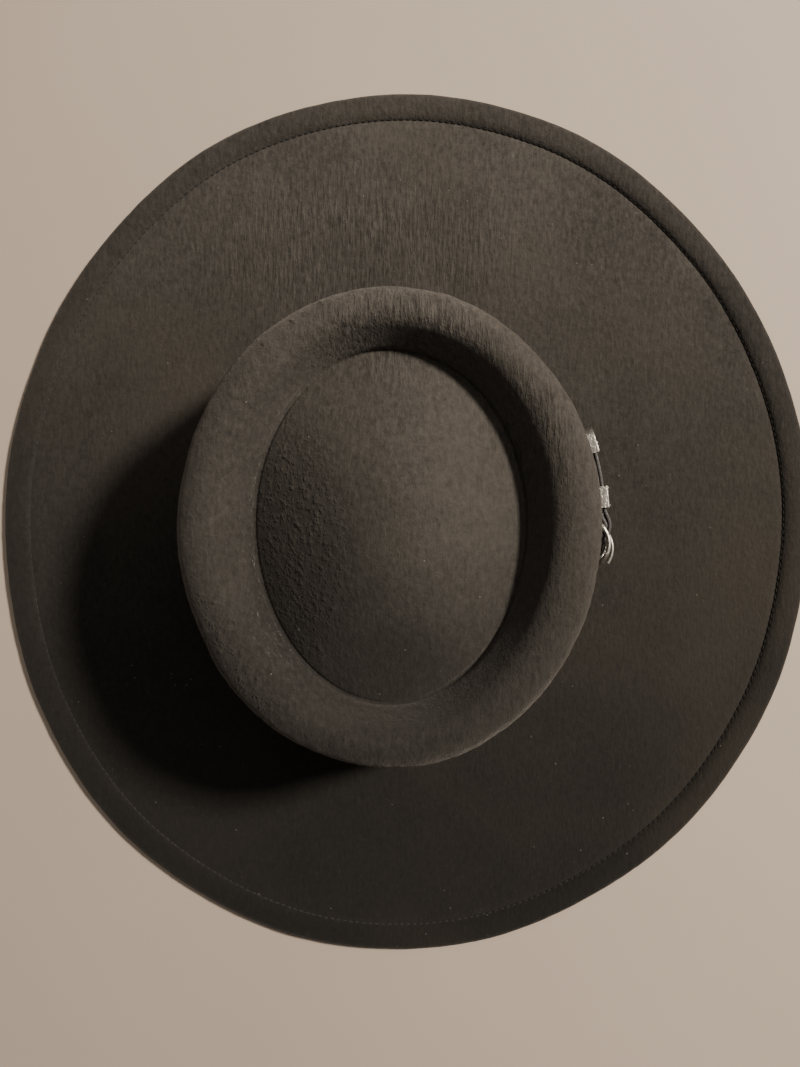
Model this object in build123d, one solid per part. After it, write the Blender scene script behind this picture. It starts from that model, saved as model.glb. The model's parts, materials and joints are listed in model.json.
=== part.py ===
from build123d import *
import math
import os

# A wide-brimmed felt hat with a telescope crown, in millimetres. +Z is up, -Y is the front,
# and the buckle of the leather band is on the wearer's left, at +X. The brim's underside
# lies on z = 0 and the origin is the centre of the brim.

# ---- driving dimensions ----
BRIM_A, BRIM_B = 188.0, 200.0      # half width and half length of the brim
FELT = 3.0                         # felt thickness
FOOT_A, FOOT_B = 89.5, 105.5       # outside of the crown just above the brim break
RIDGE_A, RIDGE_B = 75.9, 86.1      # outside of the crown where the rim starts to round over
RIDGE_Z = 91.5
RIM_R = 10.0                       # radius of the rounded rim
GROOVE_DEPTH = 16.5                # from the rim's crest to the bottom of the groove
GROOVE_IN = 26.0                   # from the ridge in to the bottom of the groove, at the sides
END_RATIO = 0.83                   # how much narrower the rim is at the front and back
DOME_RISE = 16.7                   # from the bottom of the groove to the top of the dome
BREAK_R = 3.0                      # outer radius where the wall turns into the brim
WELT_W = 11.6                      # width of the folded edge
WELT_FLAP = 2.8                    # thickness of the folded edge above the brim's own felt
WELT_ROUND = 2.7                   # rounding of the folded edge

WIRE_R = 0.9                       # edge wire
WIRE_IN = 3.6                      # from the brim's edge in to the wire's centre
WIRE_GAP = 0.1                     # clearance of the wire in its channel
WIRE_END = 0.15                    # angle from the back to each end of the wire
JOINER_LEN, JOINER_WALL = 22.0, 0.45

THREAD = 0.6                       # thickness of the sewing thread
SKIN_GAP = 0.1                     # clearance between pieces that lie on each other
TAPE_GAP = 0.3                     # between the reed tape and the crown

SWEAT_T, SWEAT_H = 1.0, 33.0       # sweatband leather and height
TAPE_T = 0.4                       # reed tape
REED_R = 0.8
REED_Z = 1.8
TAPE_FLANGE = 6.0
SEAM_GAP = 0.6                     # between the sweatband's two ends
SEAM_STITCHES, SEAM_PITCH, SEAM_LEN = 6, 3.6, 3.6
BOW_W, BOW_H, BOW_T = 24.0, 8.0, 1.2
LABEL_W, LABEL_H, LABEL_T = 22.0, 12.0, 0.3
LABEL_ANGLE = 22.0                 # from the back round to the label

STRAP_T, STRAP_H = 1.6, 13.0       # leather strap
STRAP_Z = 8.2                      # lower edge of the strap
STRAP_GAP = 0.35                   # between the strap and the felt
LAYER_GAP = 0.1                    # between two layers of the strap
BAR_R = 0.9
BAR_OUT = 3.5                      # from the felt out to the bar's centre
BAR_GAP = 0.06                     # running clearance on the bar
FRAME_LEN, FRAME_RISE = 15.4, 3.5  # bar to nose, and how high the frame arches over that
FRAME_T, FRAME_W = 2.4, 2.7        # frame thickness and the width of its rails
FRAME_SIDE = 1.3                   # between the strap's edge and the frame's rail
PRONG_R, PRONG_SLOT = 0.8, 2.4     # prong and the width of the slot that it stands in
HOLE_R, HOLE_PITCH = 1.3, 10.0     # holes punched in the strap's free end
FOLD_END = 7.0                     # where the folded end of the strap stops
KEEPER_Y, KEEPER_LEN = 12.4, 9.4
KEEPER_T = 0.9
KEEPER_CLEAR = 0.45                # between the strap's face and the keeper
KEEPER_SIDE = 1.0                  # between the strap's edge and the keeper
LIFT_Y = 26.5                      # the strap's end is stacked up to here
LAND_Y = 36.5                      # and lies on the felt again from here
TIP_Y0, TIP_LEN = 31.0, 11.5
TIP_T = 0.7
TIP_CLEAR = 0.25
TIP_ROUND = 5.0
TIP_RIDGES = 3
RIVET_Y, RIVET_R, RIVET_HEAD = 4.9, 0.8, 1.5

# ---- the crown's form ----
WALL_A = (FOOT_A - RIDGE_A) / (RIDGE_Z - BREAK_R - FELT)   # lean of the wall at the sides
WALL_B = (FOOT_B - RIDGE_B) / (RIDGE_Z - BREAK_R - FELT)   # and at the front and back
LEAN = math.degrees(math.atan(WALL_A))
FOOT_Z = FELT + BREAK_R
CREST_Z = RIDGE_Z + RIM_R * (1 - math.sin(math.radians(LEAN)))
GROOVE_Z = CREST_Z - GROOVE_DEPTH
INNER_BREAK_R = BREAK_R + FELT - 0.5
DOME_POWER = 2.4


def half(z):
    """Half width and half length of the crown's outside at a height on its straight wall."""
    return FOOT_A - WALL_A * (z - FOOT_Z), FOOT_B - WALL_B * (z - FOOT_Z)


def oval(a, b, z):
    return Pos(0, 0, z) * Ellipse(a, b)


def ring(a, b, width, height, z):
    """A flat oval ring."""
    return extrude(oval(a, b, z) - oval(a - width, b - width, z), height)


def inward(depth):
    """Half sizes of the rim at a depth in from the ridge."""
    return RIDGE_A - depth, RIDGE_B - END_RATIO * depth


def outer_profile():
    """Ovals of the felt's outside, from the brim break up the wall, over the rim and into the groove."""
    rows = []
    for step in (0, 30, 60):
        angle = math.radians(step)
        out = BREAK_R * (1 - math.sin(angle))
        rows.append((FOOT_A + out, FOOT_B + out, FOOT_Z - BREAK_R * math.cos(angle)))
    for part in range(6):
        z = FOOT_Z + (RIDGE_Z - FOOT_Z) * part / 5
        rows.append((*half(z), z))
    centre_in = RIM_R * math.cos(math.radians(LEAN))
    for step in range(1, 12):
        angle = math.radians(LEAN + step * (145 - LEAN) / 11)
        z = RIDGE_Z - RIM_R * math.sin(math.radians(LEAN)) + RIM_R * math.sin(angle)
        rows.append((*inward(centre_in - RIM_R * math.cos(angle)), z))
    rows.append((*inward(GROOVE_IN), GROOVE_Z))
    return rows


def inner_profile(rows):
    """The felt's inside: each oval of the outside moved square to the surface by the felt's thickness."""
    inner = []
    for before, here, after in zip(rows, rows[1:], rows[2:]):
        run, rise = after[0] - before[0], after[2] - before[2]
        size = math.hypot(run, rise)
        side, drop = FELT * rise / size, -FELT * run / size
        inner.append((here[0] - side, here[1] - side, here[2] - drop))
    return inner


def dome_profile(a, b, z, rise):
    """Ovals of a shallow dome with a steep edge, from its foot up."""
    rows = [(a, b, z)]
    for step in range(8, 88, 8):
        angle = math.radians(step)
        share = math.cos(angle) ** (2 / DOME_POWER)
        rows.append((a * share, b * share, z + rise * math.sin(angle)))
    return rows


def form(rows, top=None):
    """A solid through ovals, closed flat at both ends, or drawn to a point at the top."""
    sections = [oval(*row) for row in rows]
    if top is not None:
        sections.append(Vertex(0, 0, top))
    return loft(sections, ruled=True)


def make_crown():
    outside = outer_profile()
    groove_a, groove_b = inward(GROOVE_IN)
    felt = form(outside)
    felt += form(dome_profile(groove_a, groove_b, GROOVE_Z, DOME_RISE), GROOVE_Z + DOME_RISE)
    felt += extrude(oval(FOOT_A + BREAK_R, FOOT_B + BREAK_R, 0), FELT)

    wall = inner_profile(outside)[3:]
    mouth = []
    mouth_z = INNER_BREAK_R
    for step in (0, 25, 50, 70):
        angle = math.radians(step)
        out = INNER_BREAK_R * (1 - math.sin(angle)) - FELT
        mouth.append((FOOT_A + out, FOOT_B + out, mouth_z * (1 - math.cos(angle))))
    floor_z = GROOVE_Z - FELT
    wall.append((groove_a, groove_b, floor_z))
    hollow = form(mouth + wall)
    under_a, under_b = groove_a - FELT, groove_b - FELT
    hollow += form(dome_profile(under_a, under_b, floor_z, DOME_RISE), floor_z + DOME_RISE)
    hollow += extrude(oval(mouth[0][0], mouth[0][1], -FELT), FELT)
    return felt - hollow


def make_brim():
    full = extrude(oval(BRIM_A, BRIM_B, 0), FELT + WELT_FLAP)
    full -= extrude(oval(BRIM_A - WELT_W, BRIM_B - WELT_W, FELT), WELT_FLAP)
    full -= extrude(oval(FOOT_A + BREAK_R, FOOT_B + BREAK_R, 0), FELT)
    rims = full.edges().filter_by(lambda e: e.bounding_box().max.X > BRIM_A - 0.1)
    full = fillet(rims.filter_by(GeomType.ELLIPSE), WELT_ROUND)
    flap = full.edges().filter_by(
        lambda e: abs(e.bounding_box().max.X - BRIM_A + WELT_W) < 0.1 and e.center().Z > FELT + 1
    )
    full = fillet(flap.filter_by(GeomType.ELLIPSE), WELT_FLAP * 0.8)
    full -= channel(WIRE_R + WIRE_GAP)
    pocket = Pos(0, BRIM_B, 0) * Box(JOINER_LEN + 4, BRIM_B, BRIM_B)
    return full - (channel(WIRE_R + JOINER_WALL + 2 * WIRE_GAP) & pocket)


def channel(reach):
    """The square space that the fold leaves round the wire, a reach each way from its centre."""
    a, b = BRIM_A - WIRE_IN + reach, BRIM_B - WIRE_IN + reach
    return ring(a, b, 2 * reach, 2 * reach, (FELT + WELT_FLAP) / 2 - reach)


def edge_tube(radius, start, end):
    """A round bar that follows the brim's edge inside the fold, between two angles from the back."""
    a, b = BRIM_A - WIRE_IN, BRIM_B - WIRE_IN
    level = Plane((0, 0, (FELT + WELT_FLAP) / 2), x_dir=(0, 1, 0))
    path = Edge.make_ellipse(b, a, level, start, end)
    return sweep(Plane(path @ 0, z_dir=path % 0) * Circle(radius), path=path)


def joiner_half():
    """Half of the joiner's length, in degrees round the brim's edge."""
    return math.degrees(JOINER_LEN / 2 / (BRIM_A - WIRE_IN))


def make_edge_wire():
    return edge_tube(WIRE_R, WIRE_END, 360 - WIRE_END)


def make_joiner():
    reach = joiner_half()
    bore = WIRE_R + WIRE_GAP / 2
    return edge_tube(bore + JOINER_WALL, -reach, reach) - edge_tube(bore, -1.1 * reach, 1.1 * reach)


def make_edge_stitching():
    """The thread that holds the fold, lying in the crease at the fold's inner edge."""
    inset = WELT_W + SKIN_GAP / 2
    return ring(BRIM_A - inset, BRIM_B - inset, THREAD, THREAD, FELT + SKIN_GAP / 5)


# ---- the sweatband and what holds it ----
def sweat_ring(gap, thickness, low, high):
    """A leaning oval ring inside the crown's wall, a gap in from the felt."""
    def rings(inset):
        rows = []
        for z in (low, high):
            a, b = half(z)
            rows.append((a - FELT - inset, b - FELT - inset, z))
        return rows
    return form(rings(gap)) - form(rings(gap + thickness))


SWEAT_IN = TAPE_GAP + TAPE_T + SKIN_GAP          # from the felt's inside in to the sweatband
FACE_IN = SWEAT_IN + SWEAT_T + SKIN_GAP          # and in to what lies on the sweatband's face
TAPE_R = REED_R + SKIN_GAP / 2 + TAPE_T
SWEAT_LOW = REED_Z + TAPE_R + SKIN_GAP


def reed_loop(radius):
    a, b = half(REED_Z)
    inset = FELT + SWEAT_IN + SWEAT_T / 2
    path = Edge.make_ellipse(b - inset, a - inset, Plane((0, 0, REED_Z), x_dir=(0, 1, 0)))
    return sweep(Plane(path @ 0, z_dir=path % 0) * Circle(radius), path=path)


def make_reed_tape():
    """Tape folded round the reed, with a flange that stands up between the felt and the sweatband."""
    tube = reed_loop(TAPE_R) + sweat_ring(TAPE_GAP, TAPE_T, REED_Z, SWEAT_LOW + TAPE_FLANGE)
    return tube - reed_loop(REED_R + SKIN_GAP / 2)


def make_sweatband():
    band = sweat_ring(SWEAT_IN, SWEAT_T, SWEAT_LOW, SWEAT_LOW + SWEAT_H)
    return band - Pos(0, FOOT_B, SWEAT_LOW + SWEAT_H / 2) * Box(SEAM_GAP, FOOT_B, SWEAT_H + 2)


def make_sweatband_stitching():
    """The thread along the sweatband's lower edge."""
    low = SWEAT_LOW + 3
    thread = sweat_ring(FACE_IN, THREAD, low, low + THREAD)
    return thread - Pos(0, FOOT_B, low) * Box(3 * SEAM_GAP, FOOT_B, 4 * THREAD)


def make_seam_stitches():
    """Zigzag stitches across the sweatband's seam at the back."""
    stitches = []
    for row in range(SEAM_STITCHES):
        z = SWEAT_LOW + SWEAT_H / 2 + row * SEAM_PITCH * 0.6
        depth = half(z)[1] - FELT - FACE_IN - THREAD
        bar = Rot(0, 90, 0) * Cylinder(THREAD / 2, SEAM_LEN)
        stitches.append(Pos(0, depth, z) * Rot(0, 35 * (-1) ** row, 0) * bar)
    return Compound(children=stitches)


def patch(inset, thickness, width, low, high, angle):
    """A piece of a leaning ring on the sweatband's face, an angle round from the back."""
    block = Pos(0, FOOT_B, (low + high) / 2) * Box(width, FOOT_B, high - low + 2)
    return sweat_ring(inset, thickness, low, high) & (Rot(0, 0, angle) * block)


def make_bow():
    """Two flat loops and a knot, tied over the foot of the seam."""
    low = SWEAT_LOW + 4.5
    loops = patch(FACE_IN, BOW_T, BOW_W, low, low + BOW_H, 0)
    loops -= patch(FACE_IN + BOW_T / 3, BOW_T / 3, BOW_W * 0.9, low - 1, low + BOW_H + 1, 0)
    return loops + patch(FACE_IN, 1.6 * BOW_T, BOW_H / 2, low + 0.2 * BOW_H, low + 0.8 * BOW_H, 0)


def make_label():
    low = SWEAT_LOW + SWEAT_H / 2
    return patch(FACE_IN, LABEL_T, LABEL_W, low, low + LABEL_H, LABEL_ANGLE)


# ---- the strap and its buckle ----
STRAP_MID = STRAP_Z + STRAP_H / 2
FLAT = STRAP_GAP + STRAP_T / 2                       # centre of a layer that lies on the felt
LOOP_R = BAR_R + BAR_GAP + STRAP_T / 2               # centre of the fold round the bar
STEP = STRAP_T + LAYER_GAP
LOWER = 2 * STRAP_GAP + 1.5 * STRAP_T                # centre of the buckle's layer
UPPER = LOWER + STEP                                 # centre of the free end on top of it
OVER_BAR = BAR_OUT + LOOP_R + STEP                   # centre of the free end over the bar
NOSE_Y = -FRAME_LEN
DROP = math.sin(math.radians(LEAN))                  # a layer's fall down the leaning wall, per mm out


def ease(value, start, end):
    """0 before start, 1 after end, and a smooth rise between."""
    share = min(1.0, max(0.0, (value - start) / (end - start)))
    return share * share * (3 - 2 * share)


def buckle_layer(y):
    """How far out the centre of the strap's buckle end lies, y along the wall from the bar."""
    if y < FOLD_END:
        return BAR_OUT + LOOP_R + (LOWER - BAR_OUT - LOOP_R) * ease(y, 0.0, RIVET_Y + 0.6)
    return LOWER + (FLAT - LOWER) * ease(y, LIFT_Y, LAND_Y)


def free_layer(y):
    """The same for the free end, which comes up through the frame and over the bar."""
    if y < 0:
        return FLAT + (OVER_BAR - FLAT) * ease(y, NOSE_Y + 1.0, -0.4)
    return OVER_BAR + (UPPER - OVER_BAR) * ease(y, 0.6, FOLD_END + 1.0)


def folded_layer(y):
    """The short end that is folded back under the buckle's layer."""
    return BAR_OUT - LOOP_R + (FLAT - BAR_OUT + LOOP_R) * ease(y, 0.0, RIVET_Y)


def wall_angle(y, z):
    return math.asin(y / half(z)[1])


def out_point(t, out, z):
    """A point a distance out from the felt's wall, at an angle t round the oval."""
    a, b = half(z)
    nx, ny = b * math.cos(t), a * math.sin(t)
    reach = out / math.cos(math.radians(LEAN)) / math.hypot(nx, ny)
    return a * math.cos(t) + nx * reach, b * math.sin(t) + ny * reach


def strap_path(z):
    """The strap's centre line in plan, from its folded end round the hat to its free end."""
    path = []
    for y in (FOLD_END, 5.4, RIVET_Y - 1, 2.4, 1.0):
        path.append((wall_angle(y, z), folded_layer(y)))
    for step in range(7):
        angle = math.radians(-90 - 30 * step)
        path.append((wall_angle(LOOP_R * math.cos(angle), z), BAR_OUT + LOOP_R * math.sin(angle)))
    for y in (1.0, 2.4, 3.8, 5.4, 7.5, 11, 16, 21, LIFT_Y, 28.5, 30.5, 32.5, 34.5, LAND_Y, 40):
        path.append((wall_angle(y, z), buckle_layer(y)))
    start, end = wall_angle(46, z), 2 * math.pi - wall_angle(24, z)
    turns = 50
    for step in range(turns + 1):
        path.append((start + (end - start) * step / turns, FLAT))
    for y in (-20, -17, -15, -13.5, -12, -10, -8, -6, -4, -2, -0.5, 1, 2.4, 3.8, 5.4, 7, 9, 12, 17, 22, 27, 32):
        path.append((wall_angle(y, z) + 2 * math.pi, free_layer(y)))
    path.append((wall_angle(TIP_Y0 + TIP_LEN - TIP_ROUND - 0.5, z) + 2 * math.pi, UPPER))
    return [out_point(t, out, z) for t, out in path]


def strap_outline(z):
    """The strap's two sides in plan at a height, closed across its ends."""
    path = strap_path(z)
    left, right = [], []
    for index, point in enumerate(path):
        before, after = path[max(index - 1, 0)], path[min(index + 1, len(path) - 1)]
        dx, dy = after[0] - before[0], after[1] - before[1]
        size = math.hypot(dx, dy) * 2 / STRAP_T
        left.append((point[0] - dy / size, point[1] + dx / size, z))
        right.append((point[0] + dy / size, point[1] - dx / size, z))
    sides = [Spline(*left), Spline(*right)]
    ends = [Line(left[0], right[0]), Line(left[-1], right[-1])]
    return make_face(Wire(sides + ends).edges())


def wall_plane(y, layer=0.0):
    """A plane that stands on the felt's wall: X out of the wall, Y along it and Z up it.

    The strap's layers are level with each other, so a layer further out sits lower on the leaning wall.
    """
    t = wall_angle(y, STRAP_MID)
    a, b = half(STRAP_MID)
    along = Vector(-a * math.sin(t), b * math.cos(t), 0).normalized()
    rise = Vector(-WALL_A * math.cos(t), -WALL_B * math.sin(t), 1)
    up = (rise - along * rise.dot(along)).normalized()
    outward = along.cross(up).normalized()
    foot = Vector(a * math.cos(t), b * math.sin(t), STRAP_MID)
    return Plane(foot - up * layer * DROP, x_dir=outward, z_dir=up)


def make_strap():
    strap = loft([strap_outline(STRAP_Z), strap_outline(STRAP_Z + STRAP_H)], ruled=True)
    bar = wall_plane(0, BAR_OUT)
    slot = Pos(BAR_OUT, -1.2, 0) * Box(2 * (LOOP_R + STRAP_T), 8.4, PRONG_SLOT)
    strap -= bar * slot
    free_slot = Pos(OVER_BAR - 1.5, -2.9, 0) * Box(6.5, 7.6, PRONG_SLOT)
    strap -= bar * free_slot
    for number in (-3, -2, -1, 1, 2):
        y = -2.6 + HOLE_PITCH * number
        depth = FLAT if number < 0 else free_layer(y)
        hole = Pos(depth, 0, 0) * Rot(0, 90, 0) * Cylinder(HOLE_R, STRAP_T + 0.9)
        strap -= wall_plane(y, depth) * hole
    for side in (-1, 1):
        hole = Pos(BAR_OUT, 0, side * STRAP_H / 4) * Rot(0, 90, 0) * Cylinder(RIVET_R + 0.02, 7)
        strap -= wall_plane(RIVET_Y, FLAT) * Pos(-BAR_OUT + LOWER - STEP / 2, 0, 0) * hole
    return strap


def make_fold_rivets():
    rivets = []
    inner, outer = FLAT - STRAP_T / 2, LOWER + STRAP_T / 2
    for side in (-1, 1):
        shank = Pos((inner + outer) / 2, 0, 0) * Rot(0, 90, 0) * Cylinder(RIVET_R, outer - inner)
        head = Pos(outer + 0.2, 0, 0) * Rot(0, 90, 0) * Cylinder(RIVET_HEAD, 0.5)
        foot = Pos(inner + 0.3, 0, 0) * Rot(0, 90, 0) * Cylinder(RIVET_HEAD, 0.5)
        rivets.append(wall_plane(RIVET_Y, FLAT) * Pos(0, 0, side * STRAP_H / 4) * (shank + head + foot))
    return Compound(children=rivets)


RAIL_IN = STRAP_H / 2 + FRAME_SIDE
RAIL_OUT = RAIL_IN + FRAME_W


def frame_arc(offset):
    """The frame's side view: an arc from behind the bar over to the nose."""
    chord, rise = FRAME_LEN / 2, FRAME_RISE
    radius = (chord * chord + rise * rise) / (2 * rise)
    centre = (BAR_OUT + rise - radius, -chord)
    swing = math.degrees(math.asin(chord / radius)) + 7
    return CenterArc(centre, radius + offset, -swing, 2 * swing)


def make_frame():
    outer, inner = frame_arc(FRAME_T / 2), frame_arc(-FRAME_T / 2)
    ends = [Line(outer @ 0, inner @ 0), Line(outer @ 1, inner @ 1)]
    side = make_face(Curve() + [outer, inner] + ends)
    frame = extrude(side, RAIL_OUT, both=True)
    frame = fillet(frame.edges().filter_by(Axis.Z), 0.7)
    plan = Rectangle(FRAME_LEN + 5.6, 2 * RAIL_OUT)
    plan = fillet(plan.vertices(), 4.2)
    across = Plane((0, -FRAME_LEN / 2, 0), x_dir=(0, 1, 0), z_dir=(1, 0, 0))
    frame = frame & extrude(across * plan, 30, both=True)
    window = Pos(0, -FRAME_LEN + FRAME_W + 15, 0) * Box(60, 30, 2 * RAIL_IN)
    frame -= window
    frame -= Pos(BAR_OUT, 0, 0) * Cylinder(BAR_R + 0.02, 4 * RAIL_OUT)
    return wall_plane(0, BAR_OUT) * frame


def make_bar():
    return wall_plane(0, BAR_OUT) * Pos(BAR_OUT, 0, 0) * Cylinder(BAR_R, 2 * RAIL_OUT - 1.0)


def make_prong():
    eye = Cylinder(BAR_R + BAR_GAP + 0.75, 2 * PRONG_R) - Cylinder(BAR_R + BAR_GAP, 3)
    nose_top = BAR_OUT + 4.35
    points = [(BAR_OUT + 1.25, -0.7), (BAR_OUT + 3.3, -4.2), (BAR_OUT + 4.7, -8.5), (nose_top, -13.4),
              (BAR_OUT + 2.95, -FRAME_LEN - 1.3)]
    path = Spline(*[Vector(x, y, 0) for x, y in points])
    tongue = sweep(Plane(path @ 0, z_dir=path % 0) * Circle(PRONG_R), path=path)
    tongue -= Pos(BAR_OUT, 0, 0) * Cylinder(BAR_R + BAR_GAP, 3)
    return wall_plane(0, BAR_OUT) * (Pos(BAR_OUT, 0, 0) * eye + tongue)


def make_keeper():
    low = 0.5
    high = UPPER + STRAP_T / 2 + KEEPER_CLEAR + KEEPER_T
    tall = STRAP_H + 2 * KEEPER_SIDE + 2 * KEEPER_T
    loop = Pos((low + high) / 2, 0, 0) * Box(high - low, KEEPER_LEN, tall)
    loop = fillet(loop.edges().filter_by(Axis.Y), 0.8)
    hollow_low = low + KEEPER_T
    hollow_high = high - KEEPER_T
    loop -= Pos((hollow_low + hollow_high) / 2, 0, 0) * Box(hollow_high - hollow_low, 30, tall - 2 * KEEPER_T)
    for side in (-1, 1):
        bead = Pos(high, side * (KEEPER_LEN / 2 - 0.8), 0) * Cylinder(0.45, tall - 2)
        loop += bead
    return wall_plane(KEEPER_Y, LOWER) * loop


def tip_plane():
    return wall_plane(TIP_Y0 + TIP_LEN / 2, UPPER)


def make_tip():
    mid = UPPER
    inner, outer = mid - STRAP_T / 2 - TIP_CLEAR, mid + STRAP_T / 2 + TIP_CLEAR
    tall = STRAP_H + 2 * TIP_CLEAR + 2 * TIP_T
    plan = Rectangle(TIP_LEN, tall)
    back = plan.vertices().sort_by(Axis.X)[-2:]
    plan = fillet(back, TIP_ROUND)
    facing = Plane((0, 0, 0), x_dir=(0, 1, 0), z_dir=(1, 0, 0))
    shell = Pos(inner - TIP_T, 0, 0) * extrude(facing * plan, outer - inner + 2 * TIP_T)
    shell = fillet(shell.faces().sort_by(Axis.X)[-1].edges(), 0.45)
    pocket = Rectangle(TIP_LEN, STRAP_H + 2 * TIP_CLEAR)
    pocket = fillet(pocket.vertices().sort_by(Axis.X)[-2:], TIP_ROUND - TIP_T)
    shell -= Pos(inner, -TIP_T, 0) * extrude(facing * pocket, outer - inner)
    for number in range(TIP_RIDGES):
        y = -TIP_LEN / 2 + 0.9 + 1.5 * number
        shell += Pos(outer + TIP_T, y, 0) * Cylinder(0.4, tall - 1.2)
    return tip_plane() * shell


def make_tip_pins():
    mid = UPPER
    back = mid - STRAP_T / 2 - TIP_CLEAR - TIP_T
    pins = []
    for side in (-1, 1):
        shank = Pos(back + 0.9, 0, 0) * Rot(0, 90, 0) * Cylinder(0.5, 1.8)
        head = Pos(back - 0.15, 0, 0) * Rot(0, 90, 0) * Cylinder(1.0, 0.3)
        pins.append(tip_plane() * Pos(0, -1.5, side * 3.5) * (shank + head))
    return Compound(children=pins)


def cut_pin_holes(shape):
    for side in (-1, 1):
        hole = Pos(UPPER - 1.2, 0, 0) * Rot(0, 90, 0) * Cylinder(0.52, 3.2)
        shape -= tip_plane() * Pos(0, -1.5, side * 3.5) * hole
    return shape


PIECES = {
    "crown": make_crown,
    "brim": make_brim,
    "edge_wire": make_edge_wire,
    "wire_joiner": make_joiner,
    "edge_stitching": make_edge_stitching,
    "sweatband": make_sweatband,
    "sweatband_reed": lambda: reed_loop(REED_R),
    "reed_tape": make_reed_tape,
    "sweatband_stitching": make_sweatband_stitching,
    "sweatband_seam_stitches": make_seam_stitches,
    "sweatband_bow": make_bow,
    "size_label": make_label,
    "hat_band": lambda: cut_pin_holes(make_strap()),
    "fold_rivets": make_fold_rivets,
    "buckle_frame": make_frame,
    "buckle_bar": make_bar,
    "buckle_prong": make_prong,
    "keeper_loop": make_keeper,
    "strap_tip": lambda: cut_pin_holes(make_tip()),
    "tip_pins": make_tip_pins,
}

os.makedirs("parts", exist_ok=True)
for name, make in PIECES.items():
    export_step(make(), f"parts/{name}.step")
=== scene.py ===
import json
import random
from math import asin, atan, atan2, cos, exp, hypot, pi, radians, sin, sqrt, tau

import bpy
from mathutils import Matrix, Vector, noise


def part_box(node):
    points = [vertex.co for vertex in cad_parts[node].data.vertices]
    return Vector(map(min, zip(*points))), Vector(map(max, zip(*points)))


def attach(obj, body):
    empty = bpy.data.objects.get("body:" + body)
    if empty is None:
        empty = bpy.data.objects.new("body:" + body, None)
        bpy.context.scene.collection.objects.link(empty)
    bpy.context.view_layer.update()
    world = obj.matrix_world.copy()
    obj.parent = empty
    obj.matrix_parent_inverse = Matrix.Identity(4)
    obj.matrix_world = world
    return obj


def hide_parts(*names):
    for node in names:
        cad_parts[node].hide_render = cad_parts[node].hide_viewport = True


bl_info = {
    "name": "Telescope felt hat",
    "version": (1, 0, 0),
    "blender": (4, 5, 0),
    "location": "3D View > Sidebar > Hat",
    "description": "Dresses the frame of a wide-brimmed felt hat with felt, stitching, leather and silver",
    "category": "Object",
}

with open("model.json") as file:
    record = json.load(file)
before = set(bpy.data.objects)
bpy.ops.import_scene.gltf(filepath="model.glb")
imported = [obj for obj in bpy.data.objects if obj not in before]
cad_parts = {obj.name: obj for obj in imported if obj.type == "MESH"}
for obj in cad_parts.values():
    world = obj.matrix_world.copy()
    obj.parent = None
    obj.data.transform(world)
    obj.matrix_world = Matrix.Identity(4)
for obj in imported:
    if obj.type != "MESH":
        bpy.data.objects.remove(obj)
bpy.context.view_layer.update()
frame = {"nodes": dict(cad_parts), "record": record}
MM = 0.001
RIM_TURN = 150.0  # degrees that the felt turns through as it goes over the rim
DOME_HALF = (50 * MM, 65 * MM)  # round figures for the dome's foot, which its unevenness goes by
WALL_RADIUS = 95 * MM  # of the crown's foot, which makes an angle of a length along it
LABEL_TURN = 112  # degrees round from the hat's left side
LABEL_WIDTH = 22 * MM


def half_size(node):
    """Half the width and half the length of a CAD node."""
    low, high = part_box(node)
    return (high.x - low.x) / 2, (high.y - low.y) / 2


BRIM_HALF = half_size("brim")


# ---- sizes that a maker would change ----
def measure(millimetres, name, description):
    """A length as a property, given in millimetres."""
    return bpy.props.FloatProperty(
        name=name, description=description, default=millimetres * MM, unit="LENGTH")


def tint(colour, name, description):
    """A colour as a property."""
    return bpy.props.FloatVectorProperty(
        name=name, description=description, default=colour, subtype="COLOR", size=3)


class FeltSizes(bpy.types.PropertyGroup):
    """The felt body's form."""

    thickness: measure(3.0, "Felt", "Thickness of the felt")
    ridge_half_width: measure(75.9, "Ridge half width", "Outside of the crown where the rim starts")
    ridge_half_length: measure(86.1, "Ridge half length", "The same from front to back")
    ridge_height: measure(91.5, "Ridge height", "Height at which the rim starts to round over")
    foot_half_width: measure(89.5, "Foot half width", "Outside of the crown just above the brim")
    foot_half_length: measure(105.5, "Foot half length", "The same from front to back")
    rim_radius: measure(10.0, "Rim radius", "Radius of the rounded rim")
    groove_depth: measure(18.6, "Groove depth", "From the rim's crest to the bottom of the groove")
    groove_in: measure(26.0, "Groove inset", "From the ridge in to the bottom of the groove")
    dome_rise: measure(18.8, "Dome rise", "From the groove to the top of the dome")
    fold_width: measure(11.6, "Fold width", "Width of the folded edge of the brim")
    fold_height: measure(2.8, "Fold height", "How far the folded edge stands above the brim")
    unevenness: measure(0.5, "Unevenness", "How far the blocked felt strays from a true form")
    sides: bpy.props.IntProperty(
        name="Sides", description="Faces round the hat", default=576, min=64, max=768)


class SewingSizes(bpy.types.PropertyGroup):
    """The sewn lines."""

    pitch: measure(3.0, "Stitch pitch", "From one stitch to the next")
    length: measure(2.2, "Stitch length", "Length of the thread that shows")
    thread: measure(0.32, "Thread", "Radius of the thread")


class Colours(bpy.types.PropertyGroup):
    """Base colours of the finishes."""

    felt: tint((0.0085, 0.0078, 0.0066), "Felt", "Charcoal felt")
    # The paler end of the felt's colours, reached mostly where light is painted on the crown and towards the
    # back.
    felt_light: tint((0.106, 0.094, 0.080), "Paler felt", "Paler felt, reached where light is painted on the crown and towards the back")
    leather: tint((0.022, 0.018, 0.016), "Leather", "Strap leather")
    silver: tint((0.52, 0.49, 0.44), "Silver", "Worn nickel silver")


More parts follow.
